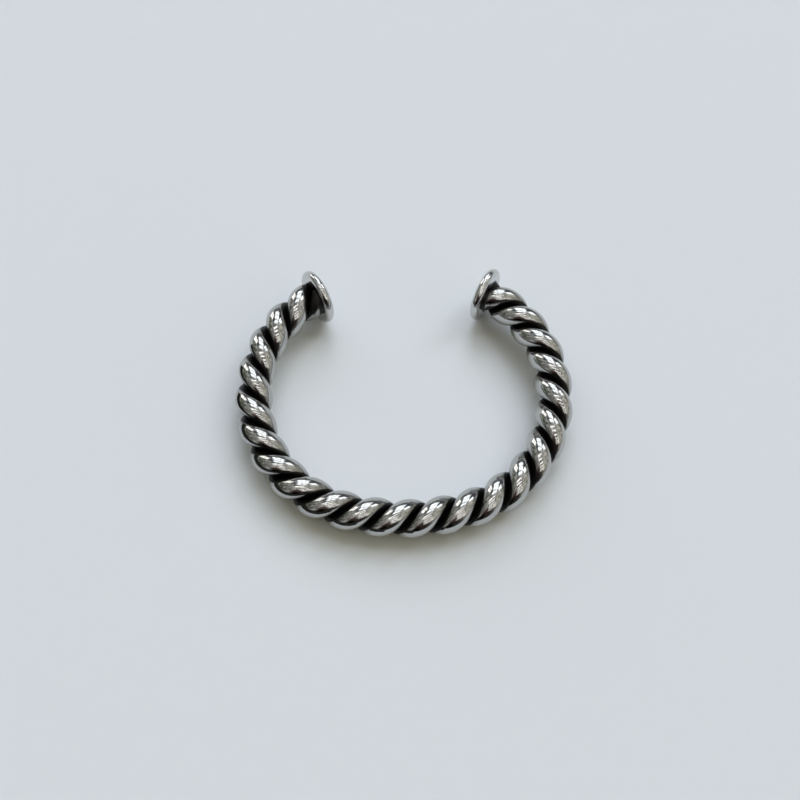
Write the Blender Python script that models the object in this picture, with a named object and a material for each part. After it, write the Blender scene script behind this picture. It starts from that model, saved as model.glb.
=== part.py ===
"""Cuff bracelet: two thick wires twisted into a rope, bent into an open oval, with a round disc on each tip.

The wires are a little oval, flattened where the twist presses them against each other.

The rope's bend is laid out in its own plane first: its middle line starts at the middle of the back and runs
both ways in three arcs. The whole cuff is then set down on its side, where it rests on the lowest wire at the
back and on the rims of the two discs, which are wider than the rope.
Metres, +Z up, origin on the ground under the middle of the cuff. The opening faces +Y.
"""
import math

import bmesh
import bpy
import numpy as np
from mathutils import Matrix, Vector

# Driving dimensions, in metres
WIRE_DEPTH = 0.0036  # each wire's thickness measured towards the middle of the rope
WIRE_WIDTH = 0.0043  # and across that
WIRE_CLEARANCE = 0.0003  # left between the two wires where they face each other
LAY_LENGTH = 0.0136  # rope length in which each wire makes one full turn
TOP_CROSSING = -0.0025  # where the first wire crosses over the top, right of the back's middle
BACK_RADIUS = 0.0445  # the middle line's bend across the back
BACK_HALF_LENGTH = 0.0132
SIDE_RADIUS = 0.0270  # the tighter bend round each side
SIDE_LENGTH = 0.0569
TIP_RADIUS = 0.0210  # the last bend, up to the discs
ROPE_HALF_LENGTH = 0.0743  # from the back's middle to each cut end of the rope, along the middle line
DISC_DIAMETER = 0.0122
DISC_THICKNESS = 0.0021
DISC_LEAN = math.radians(7)  # how far the discs' tops lean in over the opening
DISC_CLEARANCE = 0.0003  # left between a disc and the cut ends of the wires

# Fineness of the faceted solids
WIRE_SIDES = 12
SECTIONS_PER_TURN = 14
DISC_SIDES = 48
RIM_STEPS = 6

# Finishes
STEEL_COLOUR = (0.62, 0.62, 0.61, 1.0)
STEEL_ROUGHNESS = 0.18
DISC_COLOUR = (0.60, 0.60, 0.60, 1.0)
DISC_ROUGHNESS = 0.22

DISC_RADIUS = DISC_DIAMETER / 2
TIPS = (-ROPE_HALF_LENGTH, ROPE_HALF_LENGTH)
ARCS = ((BACK_RADIUS, BACK_HALF_LENGTH), (SIDE_RADIUS, SIDE_LENGTH), (TIP_RADIUS, math.inf))


def middle_line(along):
    """Point and heading of the rope's middle line at a length along it, to the right of the back's middle.

    Each arc turns the heading by its length over its radius. Left of the middle the line is the mirror image.
    """
    side = math.copysign(1.0, along)
    left_to_go = abs(along)
    x = y = heading = 0.0
    for radius, length in ARCS:
        step = min(left_to_go, length)
        new_heading = heading + step / radius
        x += radius * (math.sin(new_heading) - math.sin(heading))
        y += radius * (math.cos(heading) - math.cos(new_heading))
        heading = new_heading
        left_to_go -= step
        if left_to_go <= 0.0:
            break
    return Vector((side * x, y, 0.0)), side * heading


def tip_place(tip):
    """Where the rope is cut at one tip, and the way the cut faces: along the rope, and down by the lean."""
    centre, heading = middle_line(tip)
    level = math.copysign(1.0, tip) * Vector((math.cos(heading), math.sin(heading), 0.0))
    return centre, math.cos(DISC_LEAN) * level - math.sin(DISC_LEAN) * Vector((0.0, 0.0, 1.0))


def half_room(offset, rise):
    """Least distance of a wire's skin from the face that parts the two wires.

    That face is swept by a straight line across the rope that turns with the twist, climbing rise for each
    radian. A point on the wire's oval section lies partly ahead or behind, where the line has turned further.
    """
    angle = np.linspace(0.0, 2 * math.pi, 361)
    deep = WIRE_DEPTH / 2 * np.cos(angle)
    wide = WIRE_WIDTH / 2 * np.sin(angle)
    slope = math.hypot(rise, offset)
    turned = -wide * offset / (slope * rise)
    return float(np.min((offset + deep) * np.cos(turned) + wide * rise / slope * np.sin(turned)))


def wire_offset():
    """How far each wire's own middle lies from the rope's, so that the two wires just clear each other.

    They are nearest on the inside of the tightest bend, where the twist is shortest.
    """
    tightest = min(radius for radius, length in ARCS)
    offset = (WIRE_DEPTH + WIRE_CLEARANCE) / 2
    while offset < WIRE_WIDTH:
        rise = LAY_LENGTH / (2 * math.pi) * (1.0 - offset / tightest)
        if half_room(offset, rise) >= WIRE_CLEARANCE / 2:
            break
        offset += WIRE_CLEARANCE / 20
    return offset


WIRE_OFFSET = wire_offset()
ROPE_RADIUS = WIRE_OFFSET + WIRE_DEPTH / 2


def wire_point(along, start_turn):
    """Middle of one wire: it circles the rope's middle line at the wire offset, left-handed, once a lay."""
    centre, heading = middle_line(along)
    outward = Vector((math.sin(heading), -math.cos(heading), 0.0))
    turn = start_turn + 2 * math.pi * (along - TOP_CROSSING) / LAY_LENGTH
    return centre + WIRE_OFFSET * (math.sin(turn) * Vector((0.0, 0.0, 1.0)) + math.cos(turn) * outward)


def wire_mesh(name, start_turn):
    """An oval tube along one wire, longer than the rope, then cut off at both tips."""
    spare = WIRE_WIDTH
    reach = ROPE_HALF_LENGTH + spare
    count = math.ceil(2 * reach / LAY_LENGTH * SECTIONS_PER_TURN)
    places = [reach * (2 * i / count - 1) for i in range(count + 1)]
    small = WIRE_WIDTH / 100
    mesh = bmesh.new()
    rings = []
    for along in places:
        centre = wire_point(along, start_turn)
        ahead = (wire_point(along + small, start_turn) - wire_point(along - small, start_turn)).normalized()
        from_rope = centre - middle_line(along)[0]
        across = (from_rope - ahead * from_rope.dot(ahead)).normalized()
        beside = ahead.cross(across)
        ring = []
        for i in range(WIRE_SIDES):
            angle = 2 * math.pi * (i + 0.5) / WIRE_SIDES
            deep = WIRE_DEPTH / 2 * math.cos(angle)
            wide = WIRE_WIDTH / 2 * math.sin(angle)
            ring.append(mesh.verts.new(centre + deep * across + wide * beside))
        rings.append(ring)
    for ring, after in zip(rings, rings[1:]):
        for i in range(WIRE_SIDES):
            j = (i + 1) % WIRE_SIDES
            mesh.faces.new((ring[i], ring[j], after[j], after[i]))
    mesh.faces.new(rings[0][::-1])
    mesh.faces.new(rings[-1])
    for tip in TIPS:
        centre, away = tip_place(tip)
        near = [vert for vert in mesh.verts if (vert.co - centre).length < LAY_LENGTH]
        around = {face for vert in near for face in vert.link_faces}
        edges = {edge for face in around for edge in face.edges}
        verts = {vert for face in around for vert in face.verts}
        cut = bmesh.ops.bisect_plane(
            mesh, geom=list(verts) + list(edges) + list(around), plane_co=centre, plane_no=away,
            dist=WIRE_WIDTH / 1e5, clear_outer=True)
        rim = [item for item in cut["geom_cut"] if isinstance(item, bmesh.types.BMEdge)]
        bmesh.ops.edgenet_fill(mesh, edges=rim)
    bmesh.ops.recalc_face_normals(mesh, faces=mesh.faces[:])
    return finished_mesh(name, mesh)


def disc_mesh(name):
    """A round disc turned about its own Z: flat on both sides, its rim a half circle of half its thickness."""
    half = DISC_THICKNESS / 2
    profile = [(0.0, -half)]
    for i in range(RIM_STEPS + 1):
        angle = math.pi * (i / RIM_STEPS - 0.5)
        profile.append((DISC_RADIUS - half + half * math.cos(angle), half * math.sin(angle)))
    profile.append((0.0, half))
    mesh = bmesh.new()
    line = [mesh.verts.new((radius, 0.0, height)) for radius, height in profile]
    edges = [mesh.edges.new(pair) for pair in zip(line, line[1:])]
    bmesh.ops.spin(
        mesh, geom=line + edges, axis=(0.0, 0.0, 1.0), cent=(0.0, 0.0, 0.0),
        angle=2 * math.pi, steps=DISC_SIDES, use_merge=True)
    bmesh.ops.remove_doubles(mesh, verts=mesh.verts[:], dist=DISC_RADIUS / 1e4)
    bmesh.ops.recalc_face_normals(mesh, faces=mesh.faces[:])
    return finished_mesh(name, mesh)


def finished_mesh(name, mesh):
    """The bmesh written out, round faces shaded smooth and edges sharper than 40 degrees kept sharp."""
    data = bpy.data.meshes.new(name)
    mesh.to_mesh(data)
    mesh.free()
    data.shade_smooth()
    data.set_sharp_from_angle(angle=math.radians(40))
    return data


def metal(name, colour, roughness):
    """A polished metal with one colour and roughness."""
    material = bpy.data.materials.new(name)
    material.use_nodes = True
    shader = material.node_tree.nodes["Principled BSDF"]
    shader.inputs["Base Color"].default_value = colour
    shader.inputs["Metallic"].default_value = 1.0
    shader.inputs["Roughness"].default_value = roughness
    return material


def add_piece(name, data, material, parent):
    """One object with its own material, carried by the frame that sets the cuff down."""
    piece = bpy.data.objects.new(name, data)
    data.materials.append(material)
    bpy.context.collection.objects.link(piece)
    piece.parent = parent
    return piece


def disc_place(tip):
    """Middle and turn of the disc at one tip: parallel to the wires' cut ends, a clearance past them."""
    centre, away = tip_place(tip)
    middle = centre + away * (DISC_CLEARANCE + DISC_THICKNESS / 2)
    turn = away.to_track_quat("Z", "Y").to_matrix().to_4x4()
    return Matrix.Translation(middle) @ turn


def lowest_wire_point():
    """The point of the rope that meets the ground: under the wire crossing nearest to the back's middle."""
    crossings = [TOP_CROSSING + LAY_LENGTH * (0.5 * i) for i in (-1, 0, 1)]
    along = min(crossings, key=abs)
    return middle_line(along)[0] - Vector((0.0, 0.0, ROPE_RADIUS))


def lowest_disc_point(tip):
    """The point of a disc's rounded rim that meets the ground: straight down inside the disc, then half the rim."""
    down = Vector((0.0, 0.0, -1.0))
    facing = tip_place(tip)[1]
    down_in_disc = (down - facing * facing.dot(down)).normalized()
    half = DISC_THICKNESS / 2
    return disc_place(tip).translation + (DISC_RADIUS - half) * down_in_disc + half * down


def set_down(frame, pieces):
    """Turns the frame so that the back and both discs' rims are level, then moves it onto the ground's middle."""
    back = lowest_wire_point()
    left, right = (lowest_disc_point(tip) for tip in TIPS)
    up = (right - back).cross(left - back).normalized()
    level = up.rotation_difference(Vector((0.0, 0.0, 1.0))).to_matrix().to_4x4()
    frame.matrix_world = level
    bpy.context.view_layer.update()
    points = np.array([piece.matrix_world @ vertex.co for piece in pieces for vertex in piece.data.vertices])
    low, high = points.min(axis=0), points.max(axis=0)
    ground = Vector(((low[0] + high[0]) / 2, (low[1] + high[1]) / 2, low[2]))
    frame.matrix_world = Matrix.Translation(-ground) @ level
    bpy.context.view_layer.update()


def build():
    """Clears the scene and models the two wires and the two discs."""
    for item in list(bpy.data.objects):
        bpy.data.objects.remove(item)
    frame = bpy.data.objects.new("resting_frame", None)
    bpy.context.collection.objects.link(frame)
    pieces = []
    for name, start_turn in (("strand_a", math.pi / 2), ("strand_b", -math.pi / 2)):
        finish = metal(name + "_steel", STEEL_COLOUR, STEEL_ROUGHNESS)
        pieces.append(add_piece(name, wire_mesh(name, start_turn), finish, frame))
    for name, tip in zip(("end_disc_left", "end_disc_right"), TIPS):
        finish = metal(name + "_steel", DISC_COLOUR, DISC_ROUGHNESS)
        disc = add_piece(name, disc_mesh(name), finish, frame)
        disc.matrix_local = disc_place(tip)
        pieces.append(disc)
    set_down(frame, pieces)


build()
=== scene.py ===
import math

import bpy
import numpy as np
from mathutils import Matrix, Vector


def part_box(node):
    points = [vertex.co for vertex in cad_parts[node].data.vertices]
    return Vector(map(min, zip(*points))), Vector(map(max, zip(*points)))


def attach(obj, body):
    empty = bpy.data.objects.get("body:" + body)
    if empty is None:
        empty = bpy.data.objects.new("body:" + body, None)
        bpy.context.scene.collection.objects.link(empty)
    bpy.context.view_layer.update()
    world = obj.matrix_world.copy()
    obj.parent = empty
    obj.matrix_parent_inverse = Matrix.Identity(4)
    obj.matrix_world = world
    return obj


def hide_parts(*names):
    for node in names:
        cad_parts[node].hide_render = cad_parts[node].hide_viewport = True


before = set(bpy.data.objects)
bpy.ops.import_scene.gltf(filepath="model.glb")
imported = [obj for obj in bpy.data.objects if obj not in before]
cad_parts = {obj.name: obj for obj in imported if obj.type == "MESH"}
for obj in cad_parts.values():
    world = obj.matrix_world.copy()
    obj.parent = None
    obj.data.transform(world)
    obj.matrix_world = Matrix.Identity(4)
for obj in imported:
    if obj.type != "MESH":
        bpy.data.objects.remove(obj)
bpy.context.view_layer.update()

# The cuff's own sizes, in metres, as its solids have them. Lengths along the rope start at the
# middle of its back and are positive to the right.
WIRE_DEPTH = 0.0036  # each wire's thickness towards the middle of the rope
WIRE_WIDTH = 0.0043  # and across that
WIRE_CLEARANCE = 0.0003  # what the two solid wires keep between them
LAY_LENGTH = 0.0136  # rope length of one full turn of the twist
TOP_CROSSING = -0.0025  # where strand_a lies straight on top
BACK_RADIUS, BACK_HALF_LENGTH = 0.0445, 0.0132
SIDE_RADIUS, SIDE_LENGTH = 0.0270, 0.0569
TIP_RADIUS = 0.0210
ROPE_HALF_LENGTH = 0.0743
DISC_RADIUS = 0.0061
DISC_THICKNESS = 0.0021
DISC_LEAN = math.radians(7)  # how far down each disc faces
DISC_CLEARANCE = 0.0003  # what a solid disc keeps from the wires

ARCS = ((BACK_RADIUS, BACK_HALF_LENGTH), (SIDE_RADIUS, SIDE_LENGTH), (TIP_RADIUS, math.inf))
TIPS = {"left": -ROPE_HALF_LENGTH, "right": ROPE_HALF_LENGTH}
START_TURNS = {"strand_a": math.pi / 2, "strand_b": -math.pi / 2}
UP = np.array((0.0, 0.0, 1.0))

# Where the solids keep a gap, the visible pieces touch as the real ones do
SEAM_FILL = 1.7 * WIRE_CLEARANCE  # the wires are deeper inwards by this
REACH_INTO_DISC = DISC_CLEARANCE + DISC_THICKNESS / 6

# Fineness of the visible skins
RINGS_PER_TURN = 88
WIRE_SIDES = 64
DISC_SIDES = 192
RIM_POINTS = 33
FACE_RINGS = (0.06, 0.3, 0.55, 0.75, 0.88, 0.96)  # shares of the flat face's radius
SECTION_POINTS = 361  # tried round the oval, to find the room between the wires
HALVINGS = 40  # to find where a wire meets a plane
SHARP_EDGE = math.radians(50)

# How strongly noise keeps its finer detail
SMOOTH_NOISE, ROUGH_NOISE = 0.5, 0.6

# Finishes: colours are linear, noise scales are per metre
WIRE_TONES = (0.48, 0.48, 0.47, 1), (0.54, 0.535, 0.52, 1)
DISC_TONES = (0.58, 0.58, 0.57, 1), (0.64, 0.64, 0.63, 1)
STEEL_ROUGHNESS = 0.03, 0.07
POLISH_PATCHES, POLISH_PATCH_STEP = 420, (0.3, 0.8)
POLISH_WAVES, POLISH_WAVE_DEPTH = 330, 0.000014
# Two sets of hairlines: their turn, and the noise scale lengthways and crossways
HAIRLINES = ((0.3, 0.9, 0.5), 500, 9000), ((1.1, 0.2, 1.9), 400, 7000)
HAIRLINE_WIDTH = 0.02  # how far from its middle value the noise still makes a hairline
HAIRLINE_ROUGHNESS, HAIRLINE_STRENGTH, HAIRLINE_DEPTH = 0.04, 0.25, 0.000004
# Black oxide of the grooves; near the discs and on their inner faces the same black is also painted
# shade
OXIDE_AND_SHADE_COLOUR = (0.036, 0.035, 0.034, 1)
OXIDE_ROUGHNESS = 0.42
# Tarnish beside the black, which is also painted shade and a painted reflection of the dark groove
TARNISH_AND_SHADE_COLOUR = (0.16, 0.15, 0.135, 1)
TARNISH_AND_SHADE = 0.6  # how much of it lies right beside the black
TARNISH_AND_SHADE_END = 0.94  # share of the rope's radius
GROOVE_EDGE, GROOVE_FADE = 0.765, 0.04  # shares of the rope's radius
GROOVE_WEAR_SCALE, GROOVE_WEAR = 900, 0.06
DISC_CLIMB, DISC_CLIMB_MM = 0.17, (0.9, 3.2)  # the black climbs higher near a disc, as painted shade from the disc over oxide
DISC_BLACK_MM = (0.3, 0.7)  # and covers the wires' last bit, which is also painted shade from the disc
# Black of oxide and painted shade on each disc's inner face, out to these shares
DISC_BLACK_RING = (0.57, 0.65)  # shares of the disc's radius
DISC_WEAR_SCALE, DISC_WEAR = 700, 0.08
DISC_INNER_SIDE = (-0.95, -0.8)  # shares of half the disc's thickness

# Floor and card
FLOOR_SIZE = 400.0
FLOOR_COLOUR = (0.82, 0.83, 0.83, 1)
FLOOR_ROUGHNESS, FLOOR_SPECULAR = 0.9, 0.1
CARD_RADIUS, CARD_HEIGHT = 0.053, 0.011
CARD_FROM_TO, CARD_POINTS = (-172, -68), 41  # compass angles
CARD_COLOUR = (0.035, 0.033, 0.028, 1)

# Lamps. Compass angle 0 is away from the camera, right is positive; all angles in degrees
LIGHT_DISTANCE = 12.0
DAYLIGHT = (0.75, 0.833, 1.0)  # what the windows cast on the floor
WARM, COOL = (1.0, 0.985, 0.95), (0.90, 0.955, 1.0)
FRAME_BAR = 1.7  # width of the dark bar between two panes
PANE_SHADES = (1.0, 0.84, 1.16)
# name, compass angle, angle from overhead, width, height, panes across and down, how bright the
# metal mirrors it, how bright it lights the floor, mirrored colour
WINDOWS = (
    ("window_left", -36, 66, 18, 32, 2, 2, 2.5, 2.5, WARM),
    ("window_left_top", -44, 38, 15, 12, 1, 1, 2.8, 1.85, WARM),
    ("window_middle", 5, 50, 31, 33, 3, 2, 2.7, 4.2, COOL),
    ("window_middle_top", -1, 24, 30, 13, 2, 1, 2.3, 2.6, COOL),
    ("window_right", 52, 49, 17, 24, 2, 2, 2.6, 5.2, COOL),
    ("window_right_top", 52, 28, 18, 13, 1, 1, 2.6, 2.6, COOL),
)
# A row of bars on a ceiling one metre up: places to the right and away from the camera
BAR_FIRST, BAR_STEP = (-0.12, 0.01), (0.13, -0.24)
BAR_COUNT, BAR_WIDE, BAR_THICK, BAR_LEAN = 6, 36, 2.8, 12
BAR_BRIGHT, BAR_FADE = 4.0, 0.12  # the fade is for each further bar

# The room round the cuff, which the metal mirrors
ROOM_COLOUR = (0.42, 0.418, 0.40, 1)
# compass angle, angle from overhead, radius of the full colour, radius of its end, colour
WALLS = (
    (0, 0, 22, 42, (0.55, 0.55, 0.535)),  # ceiling overhead
    (5, 50, 30, 50, (0.20, 0.21, 0.22)),  # dim wall round the middle window
    (12, 25, 8, 24, (0.62, 0.64, 0.66)),  # bright ceiling above it
    (70, 34, 10, 28, (0.88, 0.88, 0.86)),  # pale wall beside the right window
    (35, 70, 12, 28, (0.16, 0.17, 0.19)),  # dark sill between the windows
    (105, 54, 15, 48, (0.60, 0.59, 0.53)),  # pale wall on the right
    (-72, 70, 10, 26, (0.19, 0.215, 0.17)),  # greenish low left
    (-82, 52, 2, 8, (0.02, 0.02, 0.03)),  # black post on the left
    (-150, 12, 6, 18, (0.74, 0.74, 0.72)),  # bright ceiling at the front left
    (110, 12, 4, 14, (0.78, 0.78, 0.76)),  # and on the right
    (-68, 8, 3, 10, (0.34, 0.34, 0.33)),  # dull ceiling on the left
    (157, 30, 9, 20, (0.30, 0.29, 0.27)),  # dim behind the nearer bars
    (157, 49, 8, 20, (0.13, 0.115, 0.10)),  # dimmer behind the further bars
    (200, 54, 8, 28, (0.13, 0.07, 0.06)),  # dark red-brown at the front
    (-157, 23, 4, 13, (0.17, 0.15, 0.15)),  # dim ceiling at the front left
    (178, 75, 20, 42, (0.06, 0.05, 0.045)),  # dark low front
    (-155, 76, 10, 24, (0.004, 0.004, 0.004)),  # black low front left
)
# Clutter, thin dark edges and leaves: noise scale, then the noise values and the factors that
# they become
CLUTTER_SCALE, CLUTTER_STEP = 4.5, (0.41, 0.59, 0.42, 1.52)
EDGE_SCALE, EDGE_STEP = 3.2, (0.0, 0.045, 0.1, 1.0)
LEAF_SCALE, LEAF_STEP = 8.0, (0.45, 0.55, 0.05, 2.1)
FOLIAGE_PLACE = (-70, 66, 14, 32)
# Just over the horizon: dark towards the front left, as pale as the floor elsewhere
HORIZON_HEIGHTS = (0.05, 0.2)
HORIZON_DARK_TOWARDS, HORIZON_SPREAD = -150, (0.1, 0.9)
HORIZON_PALE, HORIZON_DARK = (0.46, 0.48, 0.49, 1), (0.015, 0.014, 0.013, 1)
ROOM_GLOW = (1.03, 1.015, 0.84, 1)  # the floor gets the room's light a little warmer
BACKDROP = (0.70, 0.73, 0.76, 1)
PLAIN = (1, 1, 1, 1)

# Camera, fitted to the photograph: where it aims on the floor, and from where
CAMERA_AIM = (-0.00086, 0.00187, 0.0)
CAMERA_DISTANCE = 0.19043
CAMERA_AZIMUTH = math.radians(-4.07)
CAMERA_ELEVATION = math.radians(66.09)
CAMERA_ROLL = math.radians(2.77)
CAMERA_NEAR = 0.005
FOCAL_PIXELS, PICTURE_PIXELS, SENSOR_MM = 867, 800, 36


# The shape of the cuff, in the plane of its bend

def unit(vectors):
    """Each vector over its own length."""
    return vectors / np.linalg.norm(vectors, axis=-1, keepdims=True)


def dot(first, second):
    """Dot product of each pair of vectors, kept as a column."""
    return np.sum(first * second, axis=-1, keepdims=True)


def middle_line(along):
    """Points and headings of the rope's middle line, by length along the rope.

    Three arcs follow each other; each turns the heading by its length over its radius. The left
    half mirrors the right one.
    """
    side = np.where(along < 0, -1.0, 1.0)
    to_go = np.abs(along)
    x = y = heading = np.zeros_like(to_go)
    for radius, length in ARCS:
        step = np.minimum(to_go, length)
        turned = heading + step / radius
        x = x + radius * (np.sin(turned) - np.sin(heading))
        y = y + radius * (np.cos(heading) - np.cos(turned))
        heading, to_go = turned, to_go - step
    return np.stack([side * x, y, np.zeros_like(x)], axis=-1), side * heading


def wire_middle(along, start_turn, offset):
    """Middle of one wire and the way out from the rope there.

    The wire circles the middle line at the offset, left-handed, once a lay:
    middle + offset * (sin(turn) * up + cos(turn) * outward), where
    turn = start + 2 pi (along - top crossing) / lay.
    """
    centre, heading = middle_line(along)
    outward = np.stack([np.sin(heading), -np.cos(heading), np.zeros_like(heading)], axis=-1)
    turn = (start_turn + 2 * math.pi * (along - TOP_CROSSING) / LAY_LENGTH)[..., None]
    out = np.sin(turn) * UP + np.cos(turn) * outward
    return centre + offset * out, out


def half_room(offset, rise):
    """Least distance of a wire's skin from the face between the two wires.

    That face turns with the twist, by the skin's own way along the rope over the rise. The
    distance is (offset + deep) * cos(turned) + wide * rise / slope * sin(turned).
    """
    angle = np.linspace(0.0, 2 * math.pi, SECTION_POINTS)
    deep = WIRE_DEPTH / 2 * np.cos(angle)
    wide = WIRE_WIDTH / 2 * np.sin(angle)
    slope = math.hypot(rise, offset)
    turned = -wide * offset / (slope * rise)
    return float(np.min((offset + deep) * np.cos(turned) + wide * rise / slope * np.sin(turned)))


def wire_offset():
    """How far each wire's middle lies from the rope's: the two just clear each other in a bend.

    The tightest bend counts, where the rise of the twist is least.
    """
    tightest = min(radius for radius, length in ARCS)
    offset = (WIRE_DEPTH + WIRE_CLEARANCE) / 2
    full_rise = LAY_LENGTH / (2 * math.pi)
    while half_room(offset, full_rise * (1 - offset / tightest)) < WIRE_CLEARANCE / 2:
        offset += WIRE_CLEARANCE / 20
    return offset


WIRE_OFFSET = wire_offset()
ROPE_RADIUS = WIRE_OFFSET + WIRE_DEPTH / 2


def wire_skin(along, angle, start_turn):
    """Points on a wire's skin: an oval round the wire's middle, square to the wire's own line.

    point = middle + half depth * cos(angle) * across + half width * sin(angle) * beside. The half
    that faces the other wire is deeper by the seam fill.
    """
    small = WIRE_WIDTH / 100
    centre, out = wire_middle(along, start_turn, WIRE_OFFSET)
    ahead = unit(wire_middle(along + small, start_turn, WIRE_OFFSET)[0]
                 - wire_middle(along - small, start_turn, WIRE_OFFSET)[0])
    across = unit(out - ahead * dot(out, ahead))
    beside = np.cross(ahead, across)
    inner = np.where(np.cos(angle) < 0, SEAM_FILL, 0.0)
    deep = (WIRE_DEPTH / 2 + inner) * np.cos(angle)
    wide = WIRE_WIDTH / 2 * np.sin(angle)
    return centre + deep[..., None] * across + wide[..., None] * beside


def tip_place(tip):
    """Where the rope is cut at one tip, and the way the cut faces: along the rope, and down."""
    centre, heading = middle_line(np.array(tip))
    level = math.copysign(1.0, tip) * np.array((np.cos(heading), np.sin(heading), 0.0))
    return centre, math.cos(DISC_LEAN) * level - math.sin(DISC_LEAN) * UP


def disc_middle(tip):
    """The middle of a disc: half its thickness and the clearance beyond the cut."""
    centre, away = tip_place(tip)
    return centre + away * (DISC_CLEARANCE + DISC_THICKNESS / 2)


def cut_length(tip, angle, start_turn, plane_point, plane_facing):
    """For each line along a wire, the length at which it meets a plane near a tip, by halving."""
    side = math.copysign(1.0, tip)
    near = np.full(angle.shape, tip - side * WIRE_WIDTH)
    far = np.full(angle.shape, tip + side * WIRE_WIDTH)
    for _ in range(HALVINGS):
        middle = (near + far) / 2
        beyond = (wire_skin(middle, angle, start_turn) - plane_point) @ plane_facing > 0
        near, far = np.where(beyond, near, middle), np.where(beyond, middle, far)
    return (near + far) / 2


def wire_grid(start_turn):
    """One wire's skin as rings of its oval, and each point's length along the rope.

    The last lay at each tip is drawn out or in, in step with its nearness to the tip, so that the
    last ring lies flat inside the disc.
    """
    count = math.ceil(2 * ROPE_HALF_LENGTH / LAY_LENGTH * RINGS_PER_TURN)
    angle = np.arange(WIRE_SIDES) * 2 * math.pi / WIRE_SIDES
    share = np.linspace(-1.0, 1.0, count + 1)[:, None]
    along = np.repeat(share * ROPE_HALF_LENGTH, WIRE_SIDES, axis=1)
    for tip in TIPS.values():
        centre, away = tip_place(tip)
        ends = cut_length(tip, angle, start_turn, centre + away * REACH_INTO_DISC, away)
        to_tip = ROPE_HALF_LENGTH - share * math.copysign(ROPE_HALF_LENGTH, tip)
        along = along + np.clip(1 - to_tip / LAY_LENGTH, 0, 1) * (ends - tip)
    return wire_skin(along, np.broadcast_to(angle, along.shape), start_turn), along


def crest_share(points, along):
    """Distance of each point from the rope's middle line over the rope's radius.

    It is 1 on the crests of the twist. The nearest place on the middle line is found by sliding
    along its heading three times.
    """
    for _ in range(3):
        centre, heading = middle_line(along)
        ahead = np.stack([np.cos(heading), np.sin(heading), np.zeros_like(heading)], axis=-1)
        along = along + dot(points - centre, ahead)[..., 0]
    return np.linalg.norm(points - middle_line(along)[0], axis=-1) / ROPE_RADIUS


def cut_distance(points, along):
    """Distance of each point from the rope's nearer cut, or a whole lay where it is further."""
    distances = []
    for tip in TIPS.values():
        centre, away = tip_place(tip)
        near = np.abs(along - tip) < LAY_LENGTH
        distances.append(np.where(near, (centre - points) @ away, LAY_LENGTH))
    return np.min(distances, axis=0)


def disc_grid(tip):
    """A disc turned about its own axis: flat faces, and a half circle of a rim between them.

    Also each ring's place in the thickness, from -1 on the rope's side to 1, and its share of the
    disc's radius.
    """
    half = DISC_THICKNESS / 2
    arc = np.linspace(-math.pi / 2, math.pi / 2, RIM_POINTS)
    flat = np.array(FACE_RINGS) * (DISC_RADIUS - half)
    radius = np.concatenate([flat, DISC_RADIUS - half + half * np.cos(arc), flat[::-1]])
    height = np.concatenate([np.full(len(flat), -half), half * np.sin(arc),
                             np.full(len(flat), half)])
    turn = np.arange(DISC_SIDES) * 2 * math.pi / DISC_SIDES
    away = tip_place(tip)[1]
    side = unit(np.cross(UP, away))
    top = np.cross(away, side)
    round_axis = np.cos(turn)[:, None] * side + np.sin(turn)[:, None] * top
    points = disc_middle(tip) + height[:, None, None] * away + radius[:, None, None] * round_axis
    shares = {"face": height / half, "ring": radius / DISC_RADIUS}
    return points, {key: np.repeat(value[:, None], DISC_SIDES, axis=1)
                    for key, value in shares.items()}


# How the cuff lies: level on its back and on both discs, at the place that the solids have

def lowest_disc_point(tip):
    """Where a disc's rounded rim meets the ground: straight down in the disc, then half the rim."""
    away = tip_place(tip)[1]
    down_in_disc = unit(-UP + away * (away @ UP))
    half = DISC_THICKNESS / 2
    return disc_middle(tip) + (DISC_RADIUS - half) * down_in_disc - half * UP


def resting_turn():
    """The turn that levels the plane on which the cuff rests.

    It goes through the wire crossing nearest to the middle of the back, at the rope's underside,
    and through both discs' lowest points.
    """
    crossings = [TOP_CROSSING + LAY_LENGTH * 0.5 * half_turns for half_turns in (-1, 0, 1)]
    back = middle_line(np.array(min(crossings, key=abs)))[0] - ROPE_RADIUS * UP
    left, right = (lowest_disc_point(tip) for tip in TIPS.values())
    up = Vector(unit(np.cross(right - back, left - back)))
    return np.array(up.rotation_difference(Vector(UP)).to_matrix())


def resting_shift(turn):
    """What is left to move after the turn, so that both discs are where their solids are."""
    gaps = []
    for side, tip in TIPS.items():
        low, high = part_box("end_disc_" + side)
        gaps.append(np.array((low + high) / 2) - turn @ disc_middle(tip))
    return np.mean(gaps, axis=0)


TURN = resting_turn()
SHIFT = resting_shift(TURN)


def set_down(points):
    """Points of the bend's own plane, put where the cuff lies."""
    return points @ TURN.T + SHIFT


# Meshes from grids of points

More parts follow.
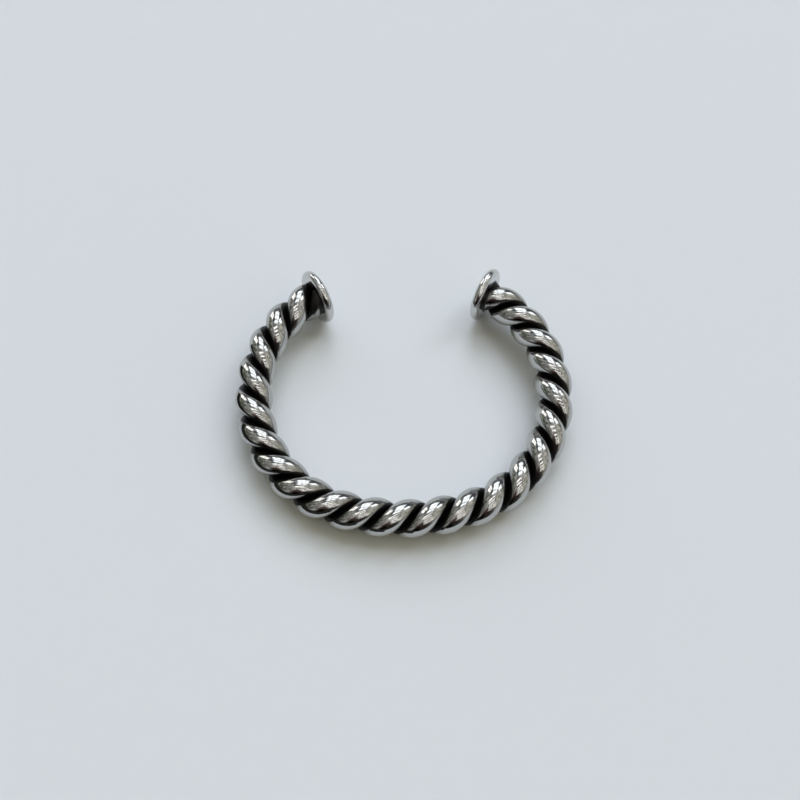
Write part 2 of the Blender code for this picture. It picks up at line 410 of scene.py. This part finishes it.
def grid_mesh(name, points, closed, attributes):
    """A skin from a grid of points, rows by columns.

    Each quad joins (row, column), (row, next column), (next row, next column) and (next row,
    column). Where the skin is closed, the last column joins the first, and each end row gets a
    cap: a fan of triangles from the row to its middle point.
    """
    rows, columns = points.shape[:2]
    row = np.arange(rows - 1)[:, None]
    column = np.arange(columns if closed else columns - 1)[None, :]
    after = (column + 1) % columns
    quads = np.stack([row * columns + column, row * columns + after,
                      (row + 1) * columns + after, (row + 1) * columns + column], axis=-1)
    quads = quads.reshape(-1, 4)
    flat = points.reshape(-1, 3)
    corners, starts = [quads.ravel()], [np.arange(len(quads)) * 4]
    values = {key: value.reshape(-1) for key, value in attributes.items()}
    if closed:
        ring = np.arange(columns)
        ends = (len(flat), 0, True), (len(flat) + 1, (rows - 1) * columns, False)
        for pole, first, flip in ends:
            fan = np.stack([first + ring, first + (ring + 1) % columns,
                            np.full(columns, pole)], axis=-1)
            fan = fan[:, ::-1] if flip else fan
            starts.append(sum(len(c) for c in corners) + np.arange(columns) * 3)
            corners.append(fan.ravel())
        flat = np.vstack([flat, points[0].mean(axis=0), points[-1].mean(axis=0)])
        values = {key: np.append(value, [value[:columns].mean(), value[-columns:].mean()])
                  for key, value in values.items()}
    corners, starts = np.concatenate(corners), np.concatenate(starts)
    mesh = bpy.data.meshes.new(name)
    mesh.vertices.add(len(flat))
    mesh.vertices.foreach_set("co", flat.astype(np.float32).ravel())
    mesh.loops.add(len(corners))
    mesh.loops.foreach_set("vertex_index", corners.astype(np.int32))
    mesh.polygons.add(len(starts))
    mesh.polygons.foreach_set("loop_start", starts.astype(np.int32))
    for key, value in values.items():
        layer = mesh.attributes.new(key, "FLOAT", "POINT")
        layer.data.foreach_set("value", value.astype(np.float32))
    mesh.update(calc_edges=True)
    mesh.validate()
    mesh.shade_smooth()
    mesh.set_sharp_from_angle(angle=SHARP_EDGE)
    return mesh


def linked_object(name, data):
    """A new object in the scene, at the origin."""
    made = bpy.data.objects.new(name, data)
    bpy.context.scene.collection.objects.link(made)
    return made


def piece(name, mesh, node, material):
    """The finished piece: it stands for its CAD node and rides with the cuff."""
    made = linked_object(name, mesh)
    mesh.materials.append(material)
    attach(made, "root")
    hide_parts(node)


# Finishes

class Recipe:
    """Short ways to add nodes to one material's or the world's node tree."""

    def __init__(self, tree):
        self.tree = tree

    def node(self, kind, inputs=None, **settings):
        """A node of a kind, with its settings and inputs; an input is a value or an output."""
        made = self.tree.nodes.new("ShaderNode" + kind)
        for key, value in settings.items():
            setattr(made, key, value)
        for key, value in (inputs or {}).items():
            if isinstance(value, bpy.types.NodeSocket):
                self.tree.links.new(value, made.inputs[key])
            else:
                made.inputs[key].default_value = value
        return made

    def math(self, operation, first, second=0.0):
        """One arithmetic step."""
        return self.node("Math", {0: first, 1: second}, operation=operation).outputs[0]

    def ramp(self, value, low, high, to_low=0.0, to_high=1.0):
        """A smooth step: to_low below low, to_high above high."""
        inputs = {"Value": value, "From Min": low, "From Max": high,
                  "To Min": to_low, "To Max": to_high}
        return self.node("MapRange", inputs, interpolation_type="SMOOTHSTEP").outputs[0]

    def mix(self, share, first, second):
        """The first colour where the share is 0, the second where it is 1."""
        inputs = {"Factor": share, 6: first, 7: second}
        return self.node("Mix", inputs, data_type="RGBA").outputs[2]

    def times(self, colour, factor):
        """The colour times a factor, which is a grey value or a colour."""
        inputs = {"Factor": 1.0, 6: colour, 7: factor}
        return self.node("Mix", inputs, data_type="RGBA", blend_type="MULTIPLY").outputs[2]

    def noise(self, place, scale, detail=3.0, roughness=SMOOTH_NOISE):
        """Cloudy noise round 0.5."""
        inputs = {"Vector": place, "Scale": scale, "Detail": detail, "Roughness": roughness}
        return self.node("TexNoise", inputs).outputs["Fac"]

    def from_middle(self, noise):
        """How far the noise is from its middle value, either way."""
        return self.math("ABSOLUTE", self.math("SUBTRACT", noise, 0.5))

    def wear(self, place, scale, depth):
        """Noise round zero, to make an edge uneven."""
        return self.math("MULTIPLY", self.math("SUBTRACT", self.noise(place, scale), 0.5), depth)

    def attribute(self, name):
        """One of the numbers that the mesh carries at its points."""
        return self.node("Attribute", attribute_name=name).outputs["Fac"]


def scratches(recipe, place, turn, lengthways, crossways):
    """Fine hairlines: noise stretched in one direction, kept only near its middle value."""
    inputs = {"Vector": place, "Rotation": turn, "Scale": (lengthways, crossways, crossways)}
    grain = recipe.noise(recipe.node("Mapping", inputs).outputs[0], 1.0, 3.0, ROUGH_NOISE)
    return recipe.ramp(recipe.from_middle(grain), 0.0, HAIRLINE_WIDTH, 1.0, 0.0)


def polished_steel(name, dark_mask, shade_tone, light_tone):
    """Mirror-polished steel with hairlines and an uneven polish, blackened by the dark mask.

    dark_mask gets the recipe and the place, and gives two shares: of the matte black, oxide
    with painted shade near and on the discs, and of tarnish with painted shade beside the black.
    """
    material = bpy.data.materials.new(name)
    material.use_nodes = True
    recipe = Recipe(material.node_tree)
    place = recipe.node("TexCoord").outputs["Object"]
    dark, tarnish_and_shade = dark_mask(recipe, place)
    hairs = recipe.math("MAXIMUM", *(scratches(recipe, place, *lines) for lines in HAIRLINES))
    patches = recipe.noise(place, POLISH_PATCHES)
    # Tarnish beside the black, partly painted shade and a painted reflection of the dark groove
    tone = recipe.mix(tarnish_and_shade, recipe.mix(patches, shade_tone, light_tone), TARNISH_AND_SHADE_COLOUR)
    # The black: oxide, and painted shade near and on the discs
    colour = recipe.mix(dark, tone, OXIDE_AND_SHADE_COLOUR)
    polish = recipe.math("ADD", recipe.ramp(patches, *POLISH_PATCH_STEP, *STEEL_ROUGHNESS),
                         recipe.math("MULTIPLY", hairs, HAIRLINE_ROUGHNESS))
    rough = recipe.math("MAXIMUM", polish, recipe.ramp(dark, 0.0, 1.0, 0.0, OXIDE_ROUGHNESS))
    waves = recipe.noise(place, POLISH_WAVES, 2.0)
    hammer = recipe.node("Bump", {"Strength": 1.0, "Distance": POLISH_WAVE_DEPTH,
                                  "Height": waves}).outputs[0]
    fine = recipe.node("Bump", {"Strength": HAIRLINE_STRENGTH, "Distance": HAIRLINE_DEPTH,
                                "Height": hairs, "Normal": hammer}).outputs[0]
    shader = material.node_tree.nodes["Principled BSDF"]
    shader.inputs["Metallic"].default_value = 1.0
    for socket, value in (("Base Color", colour), ("Roughness", rough), ("Normal", fine)):
        material.node_tree.links.new(value, shader.inputs[socket])
    return material


def groove_mask(recipe, place):
    """Black in the grooves of the twist, by distance from the rope's middle, with a worn edge.

    Next to the discs it climbs higher and covers the wires' last bit: painted shade from the
    disc over the oxide. The second value is the thin tarnish beside the black, with painted
    shade and a painted reflection of the dark groove in it.
    """
    to_disc = recipe.attribute("to_disc_mm")
    level = recipe.math("ADD", recipe.attribute("crest"),
                        recipe.wear(place, GROOVE_WEAR_SCALE, GROOVE_WEAR))
    # Near a disc the black climbs higher and covers the wires' last bit: painted shade from the
    # disc, over oxide
    level = recipe.math("SUBTRACT", level, recipe.ramp(to_disc, *DISC_CLIMB_MM, DISC_CLIMB, 0.0))
    groove = recipe.ramp(level, GROOVE_EDGE, GROOVE_EDGE + GROOVE_FADE, 1.0, 0.0)
    at_disc = recipe.ramp(to_disc, *DISC_BLACK_MM, 1.0, 0.0)
    # Tarnish beside the black, also painted shade and a painted reflection of the groove
    tarnish_and_shade = recipe.ramp(level, GROOVE_EDGE, TARNISH_AND_SHADE_END, TARNISH_AND_SHADE, 0.0)
    return recipe.math("MAXIMUM", groove, at_disc), tarnish_and_shade


def disc_mask(recipe, place):
    """Black on the side of a disc that faces the twist, out to about the rope's own edge: oxide,
    with painted shade where the rope meets the disc. Tarnish and painted shade go with it.
    """
    ring = recipe.math("ADD", recipe.attribute("ring"),
                       recipe.wear(place, DISC_WEAR_SCALE, DISC_WEAR))
    inside = recipe.ramp(ring, *DISC_BLACK_RING, 1.0, 0.0)
    inner_side = recipe.ramp(recipe.attribute("face"), *DISC_INNER_SIDE, 1.0, 0.0)
    black = recipe.math("MULTIPLY", inside, inner_side)
    return black, recipe.math("MULTIPLY", black, TARNISH_AND_SHADE)


def matte_paint(name, colour, roughness, specular):
    """A plain matte material, the same all over."""
    paint = bpy.data.materials.new(name)
    paint.use_nodes = True
    inputs = paint.node_tree.nodes["Principled BSDF"].inputs
    inputs["Base Color"].default_value = colour
    inputs["Roughness"].default_value = roughness
    inputs["Specular IOR Level"].default_value = specular
    return paint


# The pieces

steel = polished_steel("wire_steel", groove_mask, *WIRE_TONES)
for node, start_turn in START_TURNS.items():
    points, along = wire_grid(start_turn)
    shares = {"crest": crest_share(points, along), "to_disc_mm": cut_distance(points, along) * 1000}
    mesh = grid_mesh(node + "_wire", set_down(points), True, shares)
    piece(node + "_wire", mesh, node, steel)
disc_steel = polished_steel("disc_steel", disc_mask, *DISC_TONES)
for side, tip in TIPS.items():
    points, shares = disc_grid(tip)
    mesh = grid_mesh(side + "_disc", set_down(points), True, shares)
    piece(side + "_disc", mesh, "end_disc_" + side, disc_steel)

# Floor and card

bpy.ops.mesh.primitive_plane_add(size=FLOOR_SIZE)
floor = bpy.context.object
floor.name = "pale_floor"
floor.data.materials.append(matte_paint("pale_floor", FLOOR_COLOUR, FLOOR_ROUGHNESS,
                                        FLOOR_SPECULAR))


def dark_card():
    """A low black card bent round the front left of the cuff, which only the metal mirrors."""
    turn = np.radians(np.linspace(*CARD_FROM_TO, CARD_POINTS))
    foot = np.stack([CARD_RADIUS * np.sin(turn), CARD_RADIUS * np.cos(turn), np.zeros_like(turn)],
                    axis=-1)
    mesh = grid_mesh("dark_card", np.stack([foot, foot + CARD_HEIGHT * UP]), False, {})
    mesh.materials.append(matte_paint("black_card", CARD_COLOUR, 1.0, 0.0))
    card = linked_object("dark_card", mesh)
    card.visible_camera = card.visible_diffuse = card.visible_shadow = False


dark_card()


# Lamps

def direction(azimuth, from_overhead):
    """Unit vector by compass angle and angle from overhead."""
    turn, tilt = math.radians(azimuth), math.radians(from_overhead)
    return Vector((math.sin(turn) * math.sin(tilt), math.cos(turn) * math.sin(tilt),
                   math.cos(tilt)))


def seen_length(degrees):
    """How long something is, that looks so many degrees long from the cuff."""
    return 2 * LIGHT_DISTANCE * math.tan(math.radians(degrees / 2))


def softbox(name, azimuth, from_overhead, wide, high, spin, mirrored, lighting, colour):
    """A softbox that faces the cuff, its sizes in degrees as the cuff sees it.

    mirrored is how bright the metal sees it, lighting how bright it lights the floor; each has
    its own lamp.
    """
    towards = direction(azimuth, from_overhead)
    for use, radiance in (("mirrored", mirrored), ("lighting", lighting)):
        if not radiance:
            continue
        lamp = bpy.data.lights.new(f"{name}_{use}", "AREA")
        lamp.shape = "RECTANGLE"
        lamp.size, lamp.size_y = seen_length(wide), seen_length(high)
        lamp.energy = radiance * math.pi * lamp.size * lamp.size_y
        lamp.color = colour if use == "mirrored" else DAYLIGHT
        made = linked_object(lamp.name, lamp)
        made.matrix_world = (Matrix.Translation(towards * LIGHT_DISTANCE)
                             @ towards.to_track_quat("Z", "Y").to_matrix().to_4x4()
                             @ Matrix.Rotation(math.radians(spin), 4, "Z"))
        made.visible_camera = False
        made.visible_diffuse = use == "lighting"
        made.visible_glossy = use == "mirrored"


def window(name, azimuth, from_overhead, wide, high, columns, rows, mirrored, lighting, colour):
    """One softbox lights the floor; the metal mirrors separate panes, set apart by the frame."""
    softbox(name, azimuth, from_overhead, wide, high, 0, 0, lighting, colour)
    for row in range(rows):
        tilt = from_overhead + (row - (rows - 1) / 2) * high / rows
        for column in range(columns):
            aside = (column - (columns - 1) / 2) * wide / columns / math.sin(math.radians(tilt))
            shade = PANE_SHADES[(2 * row + column) % len(PANE_SHADES)]
            softbox(f"{name}_pane_{row}_{column}", azimuth + aside, tilt,
                    wide / columns - FRAME_BAR, high / rows - FRAME_BAR, 0,
                    mirrored * shade, 0, colour)


for values in WINDOWS:
    window(*values)

for step in range(BAR_COUNT):
    right, back = (first + move * step for first, move in zip(BAR_FIRST, BAR_STEP))
    turn = math.degrees(math.atan2(right, back))
    tilt = math.degrees(math.atan(math.hypot(right, back)))
    softbox(f"ceiling_bar_{step}", turn, tilt, BAR_WIDE, BAR_THICK, turn + BAR_LEAN,
            BAR_BRIGHT * (1 - BAR_FADE * step), 0, WARM)


# The room

def cosine_to(recipe, facing, azimuth, from_overhead):
    """Cosine of the angle between where a ray goes and a direction."""
    inputs = {0: facing, 1: direction(azimuth, from_overhead)}
    return recipe.node("VectorMath", inputs, operation="DOT_PRODUCT").outputs["Value"]


def wall(recipe, facing, before, azimuth, from_overhead, inner, outer, colour):
    """The colour within inner degrees of a direction, fading out to outer degrees."""
    near = cosine_to(recipe, facing, azimuth, from_overhead)
    share = recipe.ramp(near, math.cos(math.radians(outer)), math.cos(math.radians(inner)))
    return recipe.mix(share, before, (*colour, 1))


def paint_room(recipe):
    """The room's walls, their clutter, leaves on the left, and what is just over the horizon."""
    facing = recipe.node("TexCoord").outputs["Generated"]
    room = ROOM_COLOUR
    for values in WALLS:
        room = wall(recipe, facing, room, *values)
    patches = recipe.noise(facing, CLUTTER_SCALE, 3.0, ROUGH_NOISE)
    room = recipe.times(room, recipe.ramp(patches, *CLUTTER_STEP))
    edges = recipe.from_middle(recipe.noise(facing, EDGE_SCALE, 3.0, ROUGH_NOISE))
    room = recipe.times(room, recipe.ramp(edges, *EDGE_STEP))
    no_leaves = wall(recipe, facing, PLAIN, *FOLIAGE_PLACE, (0, 0, 0))
    leaves = recipe.ramp(recipe.noise(facing, LEAF_SCALE, 2.0, ROUGH_NOISE), *LEAF_STEP)
    room = recipe.mix(no_leaves, recipe.times(room, leaves), room)
    front_left = cosine_to(recipe, facing, HORIZON_DARK_TOWARDS, 90)
    horizon = recipe.mix(recipe.ramp(front_left, *HORIZON_SPREAD), HORIZON_PALE, HORIZON_DARK)
    height = recipe.node("SeparateXYZ", {0: facing}).outputs["Z"]
    room = recipe.mix(recipe.ramp(height, *HORIZON_HEIGHTS, 1.0, 0.0), room, horizon)
    rays = recipe.node("LightPath").outputs
    room = recipe.times(room, recipe.mix(rays["Is Diffuse Ray"], PLAIN, ROOM_GLOW))
    return recipe.mix(rays["Is Camera Ray"], room, BACKDROP)


world = bpy.data.worlds.new("room")
world.use_nodes = True
bpy.context.scene.world = world
painted = paint_room(Recipe(world.node_tree))
world.node_tree.links.new(painted, world.node_tree.nodes["Background"].inputs["Color"])

# Camera

towards = Vector((math.sin(CAMERA_AZIMUTH) * math.cos(CAMERA_ELEVATION),
                  -math.cos(CAMERA_AZIMUTH) * math.cos(CAMERA_ELEVATION),
                  math.sin(CAMERA_ELEVATION)))
level = Vector((math.cos(CAMERA_AZIMUTH), math.sin(CAMERA_AZIMUTH), 0.0))
across = math.cos(CAMERA_ROLL) * level + math.sin(CAMERA_ROLL) * towards.cross(level)
over = towards.cross(across)
camera = linked_object("camera", bpy.data.cameras.new("camera"))
camera.matrix_world = (Matrix.Translation(Vector(CAMERA_AIM) + CAMERA_DISTANCE * towards)
                       @ Matrix((across, over, towards)).transposed().to_4x4())
camera.data.sensor_width = SENSOR_MM
camera.data.lens = SENSOR_MM * FOCAL_PIXELS / PICTURE_PIXELS
camera.data.clip_start = CAMERA_NEAR
bpy.context.scene.camera = camera
bpy.context.scene.view_settings.view_transform = "Standard"
